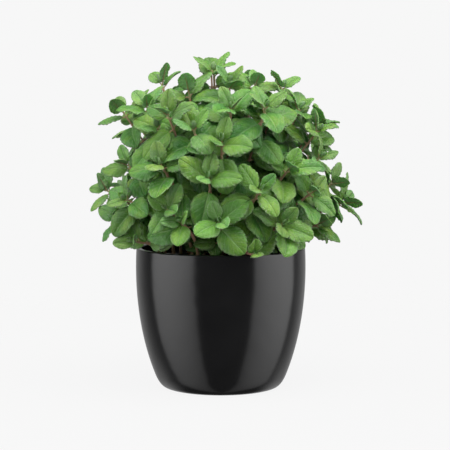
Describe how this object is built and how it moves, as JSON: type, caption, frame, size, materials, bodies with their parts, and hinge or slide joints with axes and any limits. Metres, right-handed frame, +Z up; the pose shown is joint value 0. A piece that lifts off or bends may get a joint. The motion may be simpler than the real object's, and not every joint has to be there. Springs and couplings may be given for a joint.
{
  "type": "potted mint plant",
  "caption": "Bushy mint plant in a round glazed pot: thin square stems fan out of potting soil and carry blunt oval leaves in crossed pairs.",
  "frame": {"origin": "centre of the pot's flat foot, on the surface that the pot stands on", "axes": "+Z up along the pot's axis, -Y towards the viewer of the picture, +X to their right"},
  "size_m": [0.2441, 0.2334, 0.2986],
  "materials": {
    "pot_glaze": "gloss",
    "soil": "matte",
    "foliage": "satin"
  },
  "bodies": {
    "root": {"pot": "pot_glaze", "soil": "soil", "leafy_stem_01": "foliage", "leafy_stem_02": "foliage", "leafy_stem_03": "foliage", "leafy_stem_04": "foliage", "leafy_stem_05": "foliage", "leafy_stem_06": "foliage", "leafy_stem_07": "foliage", "leafy_stem_08": "foliage", "leafy_stem_09": "foliage", "leafy_stem_10": "foliage", "leafy_stem_11": "foliage", "leafy_stem_12": "foliage", "leafy_stem_13": "foliage", "leafy_stem_14": "foliage", "leafy_stem_15": "foliage", "leafy_stem_16": "foliage", "leafy_stem_17": "foliage", "leafy_stem_18": "foliage", "leafy_stem_19": "foliage", "leafy_stem_20": "foliage", "leafy_stem_21": "foliage", "leafy_stem_22": "foliage", "leafy_stem_23": "foliage", "leafy_stem_24": "foliage", "leafy_stem_25": "foliage", "leafy_stem_26": "foliage", "leafy_stem_27": "foliage", "leafy_stem_28": "foliage", "leafy_stem_29": "foliage", "leafy_stem_30": "foliage", "leafy_stem_31": "foliage", "leafy_stem_32": "foliage", "leafy_stem_33": "foliage", "leafy_stem_34": "foliage", "leafy_stem_35": "foliage", "leafy_stem_36": "foliage", "leafy_stem_37": "foliage", "leafy_stem_38": "foliage", "leafy_stem_39": "foliage", "leafy_stem_40": "foliage", "leafy_stem_41": "foliage", "leafy_stem_42": "foliage", "leafy_stem_43": "foliage", "leafy_stem_44": "foliage", "leafy_stem_45": "foliage", "leafy_stem_46": "foliage", "leafy_stem_47": "foliage", "leafy_stem_48": "foliage", "leafy_stem_49": "foliage", "leafy_stem_50": "foliage", "leafy_stem_51": "foliage", "leafy_stem_52": "foliage"}
  },
  "joints": []
}
